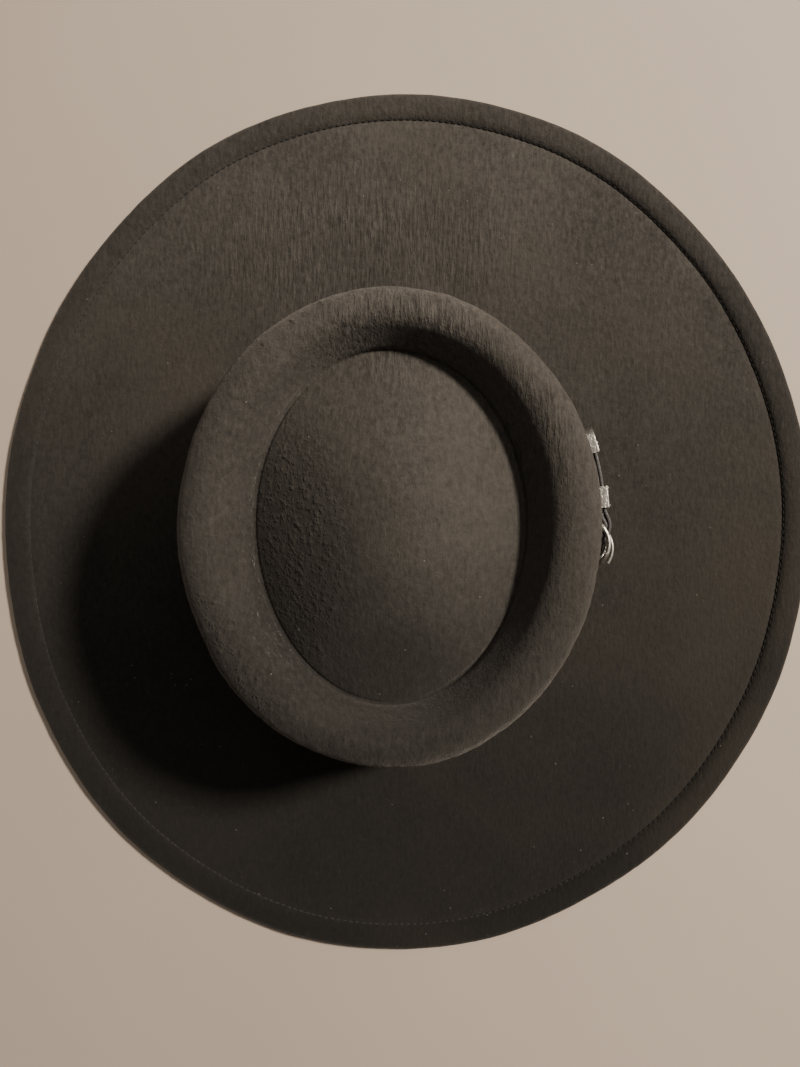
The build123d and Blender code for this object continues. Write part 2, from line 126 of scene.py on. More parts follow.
# ---- small shader language ----
class Number:
    """A number in a material's nodes, which can be added, multiplied and compared."""

    def __init__(self, tree, socket):
        self.tree = tree
        self.socket = socket

    def maths(self, operation, first, second=0.0, clamp=False):
        """One Math node."""
        node = self.tree.nodes.new("ShaderNodeMath")
        node.operation = operation
        node.use_clamp = clamp
        for slot, value in enumerate((first, second)):
            if isinstance(value, Number):
                self.tree.links.new(value.socket, node.inputs[slot])
            else:
                node.inputs[slot].default_value = value
        return Number(self.tree, node.outputs[0])

    def __add__(self, other):
        return self.maths("ADD", self, other)

    def __sub__(self, other):
        return self.maths("SUBTRACT", self, other)

    def __rsub__(self, other):
        return self.maths("SUBTRACT", other, self)

    def __mul__(self, other):
        return self.maths("MULTIPLY", self, other)

    def __truediv__(self, other):
        return self.maths("DIVIDE", self, other)

    def __pow__(self, other):
        return self.maths("POWER", self, other)

    def larger(self, other):
        """Whichever of the two is larger."""
        return self.maths("MAXIMUM", self, other)

    def held(self):
        """Held between 0 and 1."""
        return self.maths("ADD", self, 0.0, clamp=True)

    __radd__ = __add__
    __rmul__ = __mul__


class Finish:
    """One material: its Principled shader and the nodes that feed it."""

    def __init__(self, name, **constants):
        self.material = bpy.data.materials.new(name)
        self.material.use_nodes = True
        self.tree = self.material.node_tree
        self.tree.nodes.clear()
        self.shader = self.node("ShaderNodeBsdfPrincipled")
        output = self.node("ShaderNodeOutputMaterial")
        self.tree.links.new(self.shader.outputs[0], output.inputs[0])
        self.place = self.node("ShaderNodeTexCoord").outputs["Object"]
        for socket, value in constants.items():
            self.shader.inputs[socket.replace("_", " ")].default_value = value

    def node(self, kind, choices=None, **sockets):
        """Any node: its settings first, then its sockets' values or links."""
        node = self.tree.nodes.new(kind)
        for key, value in (choices or {}).items():
            setattr(node, key, value)
        for key, value in sockets.items():
            self.feed(node.inputs[key.replace("_", " ")], value)
        return node

    def feed(self, socket, value):
        """Link a socket, or set it to a value."""
        if isinstance(value, Number):
            value = value.socket
        if isinstance(value, bpy.types.NodeSocket):
            self.tree.links.new(value, socket)
        else:
            socket.default_value = value

    def number(self, node, output=0):
        """A node's output as a number."""
        return Number(self.tree, node.outputs[output])

    def stretched(self, scale, turn=(0.0, 0.0, 0.0)):
        """Object coordinates stretched along an axis."""
        mapping = self.node("ShaderNodeMapping", Vector=self.place, Scale=scale, Rotation=turn)
        return mapping.outputs[0]

    def axes(self):
        """The three object coordinates, in metres."""
        parts = self.node("ShaderNodeSeparateXYZ", Vector=self.place)
        return [self.number(parts, axis) for axis in range(3)]

    def noise(self, scale, detail=2.0, roughness=0.5, place=None):
        """Cloudy variation, about 0.5."""
        return self.number(self.node("ShaderNodeTexNoise", Vector=place or self.place, Scale=scale,
                                     Detail=detail, Roughness=roughness))

    def cells(self, scale):
        """Distance from the middle of the nearest of many scattered cells."""
        return self.number(self.node("ShaderNodeTexVoronoi", Vector=self.place, Scale=scale))

    def ramp(self, value, low, high):
        """0 below low, 1 above high, smooth between."""
        node = self.node("ShaderNodeMapRange", {"interpolation_type": "SMOOTHSTEP"}, Value=value)
        node.inputs["From Min"].default_value = low
        node.inputs["From Max"].default_value = high
        return self.number(node)

    def near(self, point, reach, squash=(1.0, 1.0, 1.0)):
        """1 at a point, falling to 0 at a reach from it."""
        scaled = self.node("ShaderNodeVectorMath", {"operation": "MULTIPLY"})
        self.feed(scaled.inputs[0], self.place)
        scaled.inputs[1].default_value = squash
        away = self.node("ShaderNodeVectorMath", {"operation": "DISTANCE"})
        self.feed(away.inputs[0], scaled.outputs[0])
        away.inputs[1].default_value = [p * s for p, s in zip(point, squash)]
        return 1 - self.ramp(Number(self.tree, away.outputs["Value"]), 0.25 * reach, reach)

    def blend(self, factor, first, second):
        """The first colour where the factor is 0, and the second where it is 1."""
        node = self.node("ShaderNodeMix", {"data_type": "RGBA", "clamp_factor": True})
        self.feed(node.inputs[0], factor)
        for socket, colour in ((node.inputs[6], first), (node.inputs[7], second)):
            self.feed(socket, colour if isinstance(colour, bpy.types.NodeSocket) else (*colour, 1.0))
        return node.outputs[2]

    def surface(self, colour=None, roughness=None, height=None, depth=0.0005, strength=1.0):
        """Feed the shader with colour, roughness and a height that becomes bump."""
        if colour is not None:
            self.feed(self.shader.inputs["Base Color"], colour)
        if roughness is not None:
            self.feed(self.shader.inputs["Roughness"], roughness)
        if height is not None:
            bump = self.node("ShaderNodeBump", Height=height, Distance=depth, Strength=strength)
            self.feed(self.shader.inputs["Normal"], bump.outputs[0])
        return self.material


def settings(name):
    """One of the groups of sizes or colours, as the scene holds it."""
    return getattr(bpy.context.scene, name)


def felt_finish():
    """Charcoal wool felt: fine grain, long fibres, worn and pilled places, and pale lint.

    The colour is darker at the front of the brim and paler on the crown and towards the back: painted light
    and shade for the fall of the light and the felt's sheen. The places named brushed and pilled are patches
    of wear about a point each. Two more patches about a point each are painted: a highlight on the dome's
    lit right side, which also smooths the fibres there, and shade on the dome's left side and front.
    """
    colours = settings("hat_colours")
    felt = Finish("wool_felt", Sheen_Weight=0.16, Sheen_Roughness=0.5, Sheen_Tint=(0.85, 0.78, 0.7, 1.0),
                  Specular_IOR_Level=0.14)
    x, y, z = felt.axes()
    grain = felt.noise(1500.0, 3.0, 0.7)
    clumps = felt.noise(430.0, 4.0, 0.65)
    broad = felt.noise(26.0, 3.0, 0.55)
    patches = felt.noise(9.0, 2.0, 0.5)
    fibres = felt.noise(1.0, 3.0, 0.6, felt.stretched((720.0, 230.0, 420.0), (0.0, 0.0, 0.12)))
    hairs = felt.noise(1.0, 4.0, 0.65, felt.stretched((640.0, 95.0, 380.0), (0.0, 0.0, -0.22)))
    brushed = felt.near((-0.02, 0.128, 0.003), 0.07, (0.6, 1.3, 0.3))
    brushed = brushed.larger(felt.near((0.012, 0.074, 0.09), 0.042, (0.75, 1.5, 0.4)) * 1.2)
    brushed = brushed.larger(felt.near((0.052, 0.035, 0.09), 0.03, (1.2, 0.8, 0.4)))
    pilled = felt.near((-0.036, -0.008, 0.092), 0.05, (1.5, 0.8, 0.5))
    pilled = pilled.larger(felt.near((-0.058, -0.05, 0.095), 0.045, (1.0, 1.0, 0.4)))
    pills = (1 - felt.ramp(felt.cells(400.0), 0.02, 0.7)) * felt.ramp(felt.noise(300.0, 3.0, 0.7), 0.4, 0.72)
    pills = pills + felt.ramp(felt.noise(360.0, 2.0, 0.6), 0.5, 0.75) * 0.5
    # Painted highlight on the dome's lit right side; it also smooths the fibres there.
    rubbed = felt.near((0.024, 0.012, 0.1), 0.045, (1.1, 0.7, 0.5))
    # Painted shade on the dome's left side, which faces away from the light, and on its front.
    painted_shade = felt.near((-0.04, -0.02, 0.09), 0.06, (1.1, 0.75, 0.4)) * felt.ramp(z, 0.06, 0.08)
    painted_shade = painted_shade.larger(felt.near((-0.004, -0.05, 0.09), 0.034, (0.8, 1.2, 0.4)))
    inside_rim = 1 - felt.ramp(((x / 0.0525) ** 2 + (y / 0.067) ** 2), 0.94, 1.04)
    # Painted light and shade: darker towards the front of the brim, paler towards the back and up the crown,
    # for the fall of the light and the felt's sheen.
    painted_light_back = ((y + 0.2) * 2.5).held()
    painted_light_crown = felt.ramp(z, 0.02, 0.085)
    fold = felt.ramp(z, 0.0034, 0.0048) * (1 - felt.ramp(z, 0.006, 0.01))
    pale = (painted_light_back * painted_light_back * 0.57 + 0.08) * (painted_light_crown * 0.68 + 1.0) * (1 - fold * 0.3)
    # The painted highlight lightens and the painted shade darkens the dome inside the rim.
    pale = pale * (1 + rubbed * inside_rim * 0.28) * (1 - painted_shade * inside_rim * 0.34)
    speckle = (clumps - 0.5) * 1.2 + (fibres - 0.5) * 1.3 * (1 - rubbed * 0.5) + (broad - 0.5) * 0.8
    speckle = speckle + (grain - 0.5) * 0.5 + (patches - 0.5) * 0.5
    speckle = speckle + brushed * (hairs - 0.47) * 2.2 - pilled * (0.5 - pills) * 0.4
    amount = pale * (speckle + 1.0)
    cloth = felt.blend(amount.held(), colours.felt, colours.felt_light)
    warm = felt.blend(felt.ramp(patches, 0.45, 0.7) * 0.3, cloth, (0.050, 0.041, 0.030))
    lint = (1 - felt.ramp(felt.cells(190.0), 0.045, 0.075)) * felt.ramp(felt.noise(80.0, 1.0), 0.55, 0.6)
    colour = felt.blend(lint * 0.55, warm, (0.22, 0.205, 0.18))
    height = grain * 0.3 + clumps * 0.75 + fibres * 0.55
    height = height + brushed * hairs * 2.2 + pilled * pills * 1.5
    return felt.surface(colour, 0.84 + broad * 0.12, height, 0.8 * MM, 0.9)


def thread_finish():
    """Dark twisted sewing thread."""
    thread = Finish("sewing_thread", Sheen_Weight=0.2, Specular_IOR_Level=0.3)
    twist = thread.noise(1.0, 2.0, 0.5, thread.stretched((3200.0, 900.0, 3200.0), (0.0, 0.0, 0.7)))
    colour = thread.blend(twist, (0.008, 0.0075, 0.007), (0.026, 0.024, 0.021))
    return thread.surface(colour, 0.7 + twist * 0.2, twist, 0.15 * MM)


def leather_finish(name, colour, worn, grain_scale=1500.0, dullness=0.46):
    """Grained leather with creases and rubbed edges."""
    leather = Finish(name, Coat_Weight=0.12, Coat_Roughness=0.35)
    pebbles = leather.cells(grain_scale)
    creases = leather.noise(260.0, 5.0, 0.6)
    rubbed = leather.ramp(leather.noise(70.0, 4.0, 0.6), 0.5, 0.75)
    tint = leather.blend(rubbed * 0.6 + creases * 0.25, colour, worn)
    height = (1 - pebbles) * 0.5 + creases * 0.6
    return leather.surface(tint, dullness + rubbed * 0.16 + creases * 0.1, height, 0.22 * MM, 0.7)


def silver_finish(name, engraved):
    """Worn nickel silver: dark in its hollows, with fine scratches and cut scrolls."""
    colours = settings("hat_colours")
    silver = Finish(name, Metallic=1.0)
    scratches = silver.noise(1.0, 3.0, 0.6, silver.stretched((900.0, 5200.0, 900.0), (0.2, 0.3, 0.5)))
    stains = silver.noise(330.0, 4.0, 0.6)
    height = scratches * 0.25
    dark = silver.ramp(stains, 0.52, 0.74) * 0.55
    if engraved:
        curls = silver.node("ShaderNodeTexWave", {"wave_type": "RINGS", "rings_direction": "SPHERICAL"},
                            Vector=silver.place, Scale=160.0, Distortion=9.0, Detail=1.5)
        curls.inputs["Detail Scale"].default_value = 2.2
        cut = silver.ramp(silver.number(curls, 1), 0.42, 0.2)
        height = height - cut * 0.9
        dark = (dark + cut * 0.5).held()
    tint = silver.blend(dark, colours.silver, (0.16, 0.145, 0.125))
    return silver.surface(tint, 0.3 + stains * 0.22 + dark * 0.2, height, 0.12 * MM, 0.6)


def woven_finish(name, first, second, rib_scale=302.5):
    """Fine ribbed tape or grosgrain."""
    woven = Finish(name, Sheen_Weight=0.25, Specular_IOR_Level=0.3)
    ribs = woven.node("ShaderNodeTexWave", {"bands_direction": "Z"}, Vector=woven.place, Scale=rib_scale,
                      Distortion=0.6, Detail=1.0)
    rib = woven.number(ribs, 1)
    threads = woven.noise(2600.0, 2.0)
    colour = woven.blend(rib * 0.6 + threads * 0.4, first, second)
    return woven.surface(colour, 0.78 + threads * 0.15, rib * 0.7 + threads * 0.3, 0.18 * MM)


def plain_finish(name, colour, second, metallic=0.0, roughness=0.45):
    """Drawn wire or moulded plastic, with fine lines and handling marks."""
    plain = Finish(name, Metallic=metallic)
    lines = plain.noise(1.0, 3.0, 0.5, plain.stretched((2500.0, 2500.0, 300.0)))
    marks = plain.noise(120.0, 3.0)
    return plain.surface(plain.blend(marks, colour, second), roughness + lines * 0.15, lines, 0.05 * MM)


def dress(node, material):
    """Give a CAD node's object a finish."""
    slots = frame["nodes"][node].data.materials
    slots.clear()
    slots.append(material)


def keep(piece, finish, body, slot, *nodes):
    """A finished piece's material, its body and the CAD nodes that it takes the place of. The slot is not
    used.
    """
    piece.data.materials.clear()
    piece.data.materials.append(finish)
    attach(piece, body)
    if nodes:
        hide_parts(*nodes)


def start_fresh():
    """Leave edit mode and select nothing."""
    if bpy.context.object and bpy.context.object.mode != "OBJECT":
        bpy.ops.object.mode_set(mode="OBJECT")
    bpy.ops.object.select_all(action="DESELECT")


def pick(*pieces):
    """Select only these pieces, and make the first of them active."""
    start_fresh()
    for piece in pieces:
        piece.select_set(True)
    bpy.context.view_layer.objects.active = pieces[0]


def joined(name, pieces):
    """Join pieces into the first of them."""
    pick(*pieces)
    bpy.ops.object.join()
    whole = bpy.context.active_object
    whole.name = name
    return whole


def close_up():
    """Merge points that lie together, turn every face outwards and leave edit mode."""
    bpy.ops.mesh.select_all(action="SELECT")
    bpy.ops.mesh.remove_doubles(threshold=1e-6)
    bpy.ops.mesh.normals_make_consistent(inside=False)
    bpy.ops.object.mode_set(mode="OBJECT")


# ---- the felt body ----
def between(first, second, share):
    """The point that lies a share of the way from the first to the second."""
    return tuple(a + (b - a) * share for a, b in zip(first, second))


def lean():
    """How far the crown's wall leans in, per unit of height, at the sides and at the ends."""
    felt = settings("hat_felt")
    rise = felt.ridge_height - foot_height()
    wide = (felt.foot_half_width - felt.ridge_half_width) / rise
    long = (felt.foot_half_length - felt.ridge_half_length) / rise
    return wide, long


def foot_height():
    """Height at which the wall starts to turn into the brim."""
    return 2 * settings("hat_felt").thickness


def groove_height():
    """Height of the bottom of the groove."""
    felt = settings("hat_felt")
    return felt.ridge_height + felt.rim_radius * (1 - sin(atan(lean()[0]))) - felt.groove_depth


def wall_half(z):
    """Half width and half length of the crown's outside at a height."""
    felt = settings("hat_felt")
    wide, long = lean()
    rise = z - foot_height()
    return felt.foot_half_width - wide * rise, felt.foot_half_length - long * rise


def rim_half(depth):
    """Half sizes at a depth in from the ridge; the rim is narrower at the front and back."""
    felt = settings("hat_felt")
    return felt.ridge_half_width - depth, felt.ridge_half_length - 0.83 * depth


def dome_rows(inset, base, rise, steps):
    """Ovals of the dome from its top down to just above its foot: a bowl, a little flat on top."""
    wide, long = rim_half(settings("hat_felt").groove_in)
    rows = []
    for step in range(steps, 0, -1):
        share = cos(pi / 2 * 0.985 * step / steps)
        rows.append(((wide - inset) * share, (long - inset) * share, base + rise * (1 - share**2.1)))
    return rows


def outside_rows():
    """Ovals of the felt's outer face, from the top of the dome out to the crease of the folded edge."""
    felt = settings("hat_felt")
    slope = atan(lean()[0])
    groove = groove_height()
    rows = dome_rows(0.0, groove, felt.dome_rise, 16)
    for out, up in ((-0.3, 0.05), (0.4, 0.0), (1.1, 0.7)):
        rows.append((*rim_half(felt.groove_in - out * MM), groove + up * MM))
    turn = radians(RIM_TURN)

    def over_rim(angle):
        depth = felt.rim_radius * (cos(slope) - cos(angle))
        return depth, felt.ridge_height + felt.rim_radius * (sin(angle) - sin(slope))

    for step in range(1, 7):
        depth, z = between((felt.groove_in, groove), over_rim(turn), step / 7)
        rows.append((*rim_half(depth), z))
    for step in range(15):
        depth, z = over_rim(turn + (slope - turn) * step / 14)
        rows.append((*rim_half(depth), z))
    for step in range(1, 15):
        z = felt.ridge_height + (foot_height() - felt.ridge_height) * step / 14
        rows.append((*wall_half(z), z))
    for angle in (75, 60, 45, 30, 15, 0):
        out = felt.thickness * (1 - sin(radians(angle)))
        z = foot_height() - felt.thickness * cos(radians(angle))
        rows.append((felt.foot_half_width + out, felt.foot_half_length + out, z))
    return rows


def brim_rows():
    """Ovals across the brim, over the folded edge and back under to the brim's inner edge."""
    felt = settings("hat_felt")
    wide, long = BRIM_HALF
    thick = felt.thickness
    start = (felt.foot_half_width + thick, felt.foot_half_length + thick)
    inner = (wide - felt.fold_width, long - felt.fold_width)
    rows = [(*between(start, inner, 0.99 * step / 24), thick) for step in range(1, 25)]
    for out, up in ((-0.35, -0.3), (0.0, -0.25), (0.2, 0.4), (0.6, 1.05),
                    (1.5, 1.75), (3.0, 2.4), (4.9, 2.75), (6.9, 2.8)):
        rows.append((inner[0] + out * MM, inner[1] + out * MM, thick + up * MM))
    round_r = (thick + felt.fold_height) / 2
    for angle in range(90, -91, -15):
        out = round_r * (cos(radians(angle)) - 1)
        rows.append((wide + out, long + out, round_r + round_r * sin(radians(angle))))
    rows += [(*between((wide - round_r, long - round_r), start, step / 8), 0.0) for step in range(1, 9)]
    return rows


def inside_rows():
    """Ovals of the felt's inner face, from the brim's inner edge up to the top of the dome."""
    felt = settings("hat_felt")
    thick = felt.thickness
    slope = atan(lean()[0])
    groove = groove_height()
    break_r = foot_height() - 0.5 * MM
    rows = []
    for angle in (12, 25, 40, 55, 70, 82):
        out = break_r * (1 - sin(radians(angle))) - thick
        z = break_r * (1 - cos(radians(angle)))
        rows.append((felt.foot_half_width + out, felt.foot_half_length + out, z))
    for step in range(1, 7):
        z = foot_height() + (felt.ridge_height - foot_height()) * step / 6
        wide, long = wall_half(z)
        rows.append((wide - thick, long - thick, z))
    inner_r = felt.rim_radius - thick
    for step in range(1, 8):
        angle = slope + (radians(RIM_TURN) - slope) * step / 7
        depth = felt.rim_radius * cos(slope) - inner_r * cos(angle)
        centre = felt.ridge_height - felt.rim_radius * sin(slope)
        rows.append((*rim_half(depth), centre + inner_r * sin(angle)))
    wide, long = rim_half(felt.groove_in)
    foot = (wide, long, groove - thick)
    rows += [between(rows[-1], foot, share) for share in (0.3, 0.6, 0.85, 1.0)]
    rows.append((wide - 0.6 * thick, long - 0.6 * thick, groove - thick))
    return rows + dome_rows(thick, groove - thick, felt.dome_rise, 9)[::-1]


def skin(name, rows, sides):
    """A closed skin through ovals: a ring that is extruded and resized from one oval to the next."""
    start_fresh()
    bpy.ops.mesh.primitive_circle_add(vertices=sides, radius=1.0, location=(0, 0, 0))
    piece = bpy.context.active_object
    piece.name = name
    bpy.ops.object.mode_set(mode="EDIT")
    bpy.ops.mesh.select_all(action="SELECT")
    bpy.ops.transform.resize(value=(rows[0][0], rows[0][1], 1.0), center_override=(0, 0, 0))
    bpy.ops.transform.translate(value=(0, 0, rows[0][2]))
    for before, row in zip(rows, rows[1:]):
        bpy.ops.mesh.extrude_edges_move()
        scale = (row[0] / before[0], row[1] / before[1], 1.0)
        bpy.ops.transform.resize(value=scale, center_override=(0, 0, 0))
        bpy.ops.transform.translate(value=(0, 0, row[2] - before[2]))
    return piece


def close_poles(piece, tops):
    """Fill the open rings at the given heights and draw each to a point."""
    for z in tops:
        bpy.ops.mesh.select_all(action="DESELECT")
        bpy.ops.object.mode_set(mode="OBJECT")
        for vertex in piece.data.vertices:
            middle = hypot(vertex.co.x, vertex.co.y) < 4 * MM
            vertex.select = middle and abs(vertex.co.z - z) < 0.4 * MM
        bpy.ops.object.mode_set(mode="EDIT")
        bpy.ops.mesh.edge_face_add()
        bpy.ops.mesh.poke()
    close_up()


def edge_sway(x, y):
    """The factor by which the hand-cut edge leaves a true oval; the crown and the inner brim stay true."""
    wide, long = BRIM_HALF
    around = atan2(y, x)
    reach = max(0.0, min(1.0, (hypot(x / wide, y / long) - 0.55) / 0.45))
    sway = 0.9 * cos(around - 3.8) + cos(2 * (around - 0.75)) + 0.9 * cos(3 * (around + 2.2))
    sway += 0.3 * sin(7 * around) + 0.2 * sin(13 * around)
    return 1 + reach * sway * MM / wide


def warp_felt(piece, crown_top):
    """The small ways in which a hand-blocked hat strays from its block."""
    felt = settings("hat_felt")
    groove = crown_top - felt.groove_depth - 3 * MM
    for vertex in piece.data.vertices:
        x, y, z = vertex.co
        dome = hypot(x / DOME_HALF[0], y / DOME_HALF[1])
        if z > groove and dome < 1.3:
            along = y / DOME_HALF[1]
            x *= 1 + 0.024 * min(1.0, dome) * along
            z += 2.2 * MM * exp(-(((dome - 1) / 0.18) ** 2)) * along**2
        grow = edge_sway(x, y)
        place = Vector((x, y, z))
        broad = noise.noise(place * 24.0) + 0.5 * noise.noise(place * 60.0 + Vector((3, 1, 7)))
        lumps = noise.noise(place * 170.0) + 0.6 * noise.noise(place * 380.0)
        x *= grow
        y *= grow
        crown = z > 8 * MM
        if crown or z > 2.3 * MM:
            away = Vector((x, y, 0)).normalized() if dome > 1.15 else Vector((0, 0, 0))
            stray = (broad + 0.45 * lumps) * felt.unevenness * (1.0 if crown else 0.35)
            x += away.x * stray
            y += away.y * stray
            z += (0.6 if crown else 0.8) * stray
        vertex.co = (x, y, z)


class HAT_OT_felt(bpy.types.Operator):
    """Model the felt crown and brim as the one blocked body that they are"""

    bl_idname = "hat.felt"
    bl_label = "Felt body"

    def execute(self, context):
        felt = settings("hat_felt")
        rows = outside_rows() + brim_rows() + inside_rows()
        body = skin("felt_body", rows, felt.sides)
        close_poles(body, (rows[0][2], rows[-1][2]))
        warp_felt(body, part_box("crown")[1].z)
        bpy.ops.object.shade_smooth()
        keep(body, felt_finish(), "hat", "felt", "crown", "brim")
        return {"FINISHED"}


class HAT_OT_nap(bpy.types.Operator):
    """Scatter the loose fibres that stand up from the felt"""

    bl_idname = "hat.nap"
    bl_label = "Loose fibres"

    count: bpy.props.IntProperty(name="Count", description="How many fibres stand up", default=22000)

    def execute(self, context):
        body = bpy.data.objects["felt_body"]
        rng = random.Random(7)
        faces = [f for f in body.data.polygons if f.normal.z > -0.2 and f.center.z > 2.5 * MM]
        faces.sort(key=lambda face: sorted(face.vertices))
        weights, total = [], 0.0
        for face in faces:
            total += face.area * (3.0 if face.center.z > 60 * MM else 1.0)
            weights.append(total)
        chosen = rng.choices(faces, cum_weights=weights, k=self.count)
        points, quads = [], []
        for face in chosen:
            normal = face.normal
            side = normal.orthogonal().normalized()
            side.rotate(Matrix.Rotation(rng.uniform(0, tau), 3, normal))
            across = normal.cross(side)
            length = rng.uniform(0.5, 1.9) * MM
            width = rng.uniform(0.016, 0.03) * MM
            lift = rng.uniform(0.15, 0.75)
            bend = rng.uniform(-0.6, 0.6)
            start = len(points)
            root = face.center - normal * 0.1 * MM
            for share in (0.0, 0.35, 0.7, 1.0):
                middle = root + side * length * share + across * length * bend * share * share
                middle += normal * length * lift * share * (1.6 - share)
                spread = width * (1.0 - 0.6 * share)
                points += [middle + across * spread, middle - across * spread + normal * spread]
            for first in (start, start + 2, start + 4):
                quads.append((first, first + 1, first + 3, first + 2))
        mesh = bpy.data.meshes.new("loose_fibres")
        mesh.from_pydata(points, [], quads)
        nap = bpy.data.objects.new("loose_fibres", mesh)
        context.scene.collection.objects.link(nap)
        fibre = Finish("wool_fibre", Sheen_Weight=0.3, Specular_IOR_Level=0.2)
        shade = fibre.noise(160.0, 2.0)
        colour = fibre.blend(fibre.ramp(shade, 0.4, 0.7), (0.03, 0.027, 0.023), (0.14, 0.125, 0.108))
        keep(nap, fibre.surface(colour, 0.7 + shade * 0.2), "hat", "felt")
        return {"FINISHED"}


class HAT_OT_pulled_strand(bpy.types.Operator):
    """Curl a strand of wool that has been pulled out of the rim at the front"""

    bl_idname = "hat.pulled_strand"
    bl_label = "Pulled strand"

    def execute(self, context):
        rng = random.Random(11)
        foot = Vector((-1.0, -78.5, 97.5)) * MM
        coils = []
        for strand in range(3):
            turn, size = rng.uniform(0, tau), rng.uniform(1.3, 2.1) * MM
            path = []
            for step in range(26):
                angle = turn + step * 0.24
                wide = size * (1 - 0.012 * step)
                lift = 0.1 * MM + 0.055 * MM * step
                side = Vector((wide * cos(angle) + strand * 0.5 * MM, wide * sin(angle), lift))
                path.append(foot + side + Vector((0, 0, 0.15 * MM * sin(3 * angle))))
            coils.append(swept(f"strand_{strand}", path, 0.2 * MM, 0.2 * MM, 0.19 * MM, False))
        keep(joined("pulled_strand", coils), bpy.data.materials["wool_fibre"], "hat", "felt")
        return {"FINISHED"}


# ---- sewing ----
def oval_steps(wide, long, pitch, start=pi / 2):
    """Even steps round an oval: each a place and a heading."""
    fine = 4096
    turns = [start + tau * number / fine for number in range(fine + 1)]
    points = [Vector((wide * cos(turn), long * sin(turn), 0)) for turn in turns]
    travelled = [0.0]
    for first, second in zip(points, points[1:]):
        travelled.append(travelled[-1] + (second - first).length)
    count = round(travelled[-1] / pitch)
    index, steps = 0, []
    for number in range(count):
        want = travelled[-1] * (number + 0.5) / count
        while travelled[index + 1] < want:
            index += 1
        along = points[index + 1] - points[index]
        steps.append((points[index], atan2(along.y, along.x)))
    return steps


def thread_stitch(shown, radius):
    """One stitch: a short round thread whose ends dip into the cloth."""
    start_fresh()
    bpy.ops.mesh.primitive_cylinder_add(vertices=8, radius=radius, depth=shown, end_fill_type="NGON",
                                        rotation=(0, pi / 2, 0))
    stitch = bpy.context.active_object
    bpy.ops.object.transform_apply(location=True, rotation=True, scale=True)
    bpy.ops.object.mode_set(mode="EDIT")
    for cut in (0.22, -0.22):
        bpy.ops.mesh.select_all(action="SELECT")
        bpy.ops.mesh.bisect(plane_co=(shown * cut, 0, 0), plane_no=(1, 0, 0))
    bpy.ops.object.mode_set(mode="OBJECT")
    for vertex in stitch.data.vertices:
        share = abs(vertex.co.x) / (shown / 2)
        vertex.co.z -= 1.5 * radius * max(0.0, share - 0.4) ** 1.5
        vertex.co.y *= 1 - 0.25 * share
    return stitch


def sew(name, stitch, places):
    """Copy a stitch to every place, join the copies and give back the sewn line."""
    copies = []
    for place, heading, tilt in places:
        copy = stitch.copy()
        copy.data = stitch.data.copy()
        turn = Matrix.Translation(place) @ Matrix.Rotation(heading, 4, "Z") @ Matrix.Rotation(tilt, 4, "X")
        copy.data.transform(turn)
        bpy.context.scene.collection.objects.link(copy)
        copies.append(copy)
    line = joined(name, copies)
    bpy.data.objects.remove(stitch)
    bpy.ops.object.shade_smooth()
    return line


class HAT_OT_edge_stitches(bpy.types.Operator):
    """Sew the folded edge down with one row of stitches"""

    bl_idname = "hat.edge_stitches"
    bl_label = "Edge stitches"

    def execute(self, context):
        sewing, felt = settings("hat_sewing"), settings("hat_felt")
        wide, long = BRIM_HALF
        inset = felt.fold_width - 0.15 * MM
        rng = random.Random(3)
        places = []
        for place, heading in oval_steps(wide - inset, long - inset, sewing.pitch):
            spot = place * edge_sway(place.x, place.y)
            spot.z = felt.thickness + 0.2 * MM
            places.append((spot, heading + rng.uniform(-0.08, 0.08), -0.5))
        line = sew("edge_stitches", thread_stitch(sewing.length, sewing.thread), places)
        keep(line, thread_finish(), "hat", "thread", "edge_stitching")
        return {"FINISHED"}


# ---- the sweatband and what is sewn to it ----
def hoop(name, rows, sides, ripple):
    """A closed hoop inside the crown; each row is a distance in from the felt's inside and a height."""
    thick = settings("hat_felt").thickness
    ovals = []
    for inset, z in rows + rows[:1]:
        wide, long = wall_half(z)
        ovals.append((wide - thick - inset, long - thick - inset, z))
    piece = skin(name, ovals, sides)
    close_up()
    low, high = min(oval[2] for oval in ovals), max(oval[2] for oval in ovals)
    for vertex in piece.data.vertices:
        x, y, z = vertex.co
        share = (z - low) / (high - low)
        around = atan2(y, x)
        wave = noise.noise(Vector((cos(around) * 4, sin(around) * 4, z * 30))) - 0.4
        pull = 1 + ripple * share * wave / (90 * MM)
        vertex.co = (x * pull, y * pull, z)
    bpy.ops.object.shade_smooth()
    return piece


def inner_wall(turn, inset, z):
    """A point a distance in from the felt's inside, at an angle round from the hat's left side."""
    wide, long = wall_half(z)
    thick = settings("hat_felt").thickness
    return Vector(((wide - thick - inset) * cos(turn), (long - thick - inset) * sin(turn), z))


def cloth_patch(name, columns, rows, shape, thickness):
    """A subdivided sheet of cloth, each of its points placed by a shape of its two shares."""
    start_fresh()
    bpy.ops.mesh.primitive_grid_add(x_subdivisions=columns, y_subdivisions=rows, size=1.0)
    patch = bpy.context.active_object
    patch.name = name
    for vertex in patch.data.vertices:
        vertex.co = shape(vertex.co.x + 0.5, vertex.co.y + 0.5)
    solid = patch.modifiers.new("thickness", "SOLIDIFY")
    solid.thickness = thickness
    solid.offset = 0.0
    bpy.ops.object.modifier_apply(modifier="thickness")
    bpy.ops.object.shade_smooth()
    return patch


